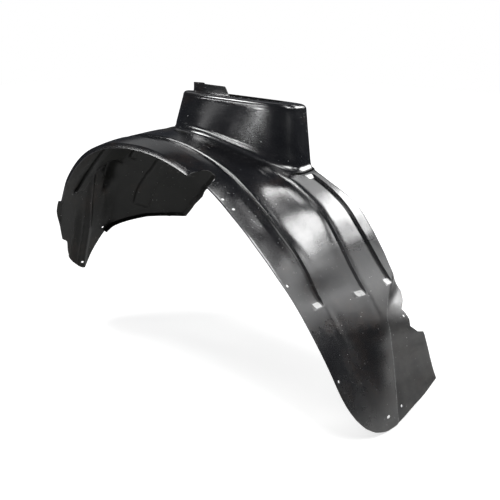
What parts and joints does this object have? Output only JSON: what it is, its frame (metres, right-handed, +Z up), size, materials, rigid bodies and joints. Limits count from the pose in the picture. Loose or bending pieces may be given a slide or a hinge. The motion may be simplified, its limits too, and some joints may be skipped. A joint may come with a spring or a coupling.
{
  "type": "wheel arch liner",
  "caption": "Pressed black plastic front wheel arch liner: arched tread with ribbed channels, strut tower open at its crown, nose panel and tail with side wing.",
  "frame": {"origin": "the wheel axis, in the plane of the liner's outer edge", "axes": "+X along the car towards the liner's long tail with the side wing, +Y across the car towards the engine side, +Z up"},
  "size_m": [0.8757, 0.3223, 0.5876],
  "materials": {
    "black_plastic": "black thermoformed sheet, satin gloss with fine grain, light scuffs and dust"
  },
  "bodies": {
    "root": {"arch_liner": "black_plastic"}
  },
  "joints": []
}
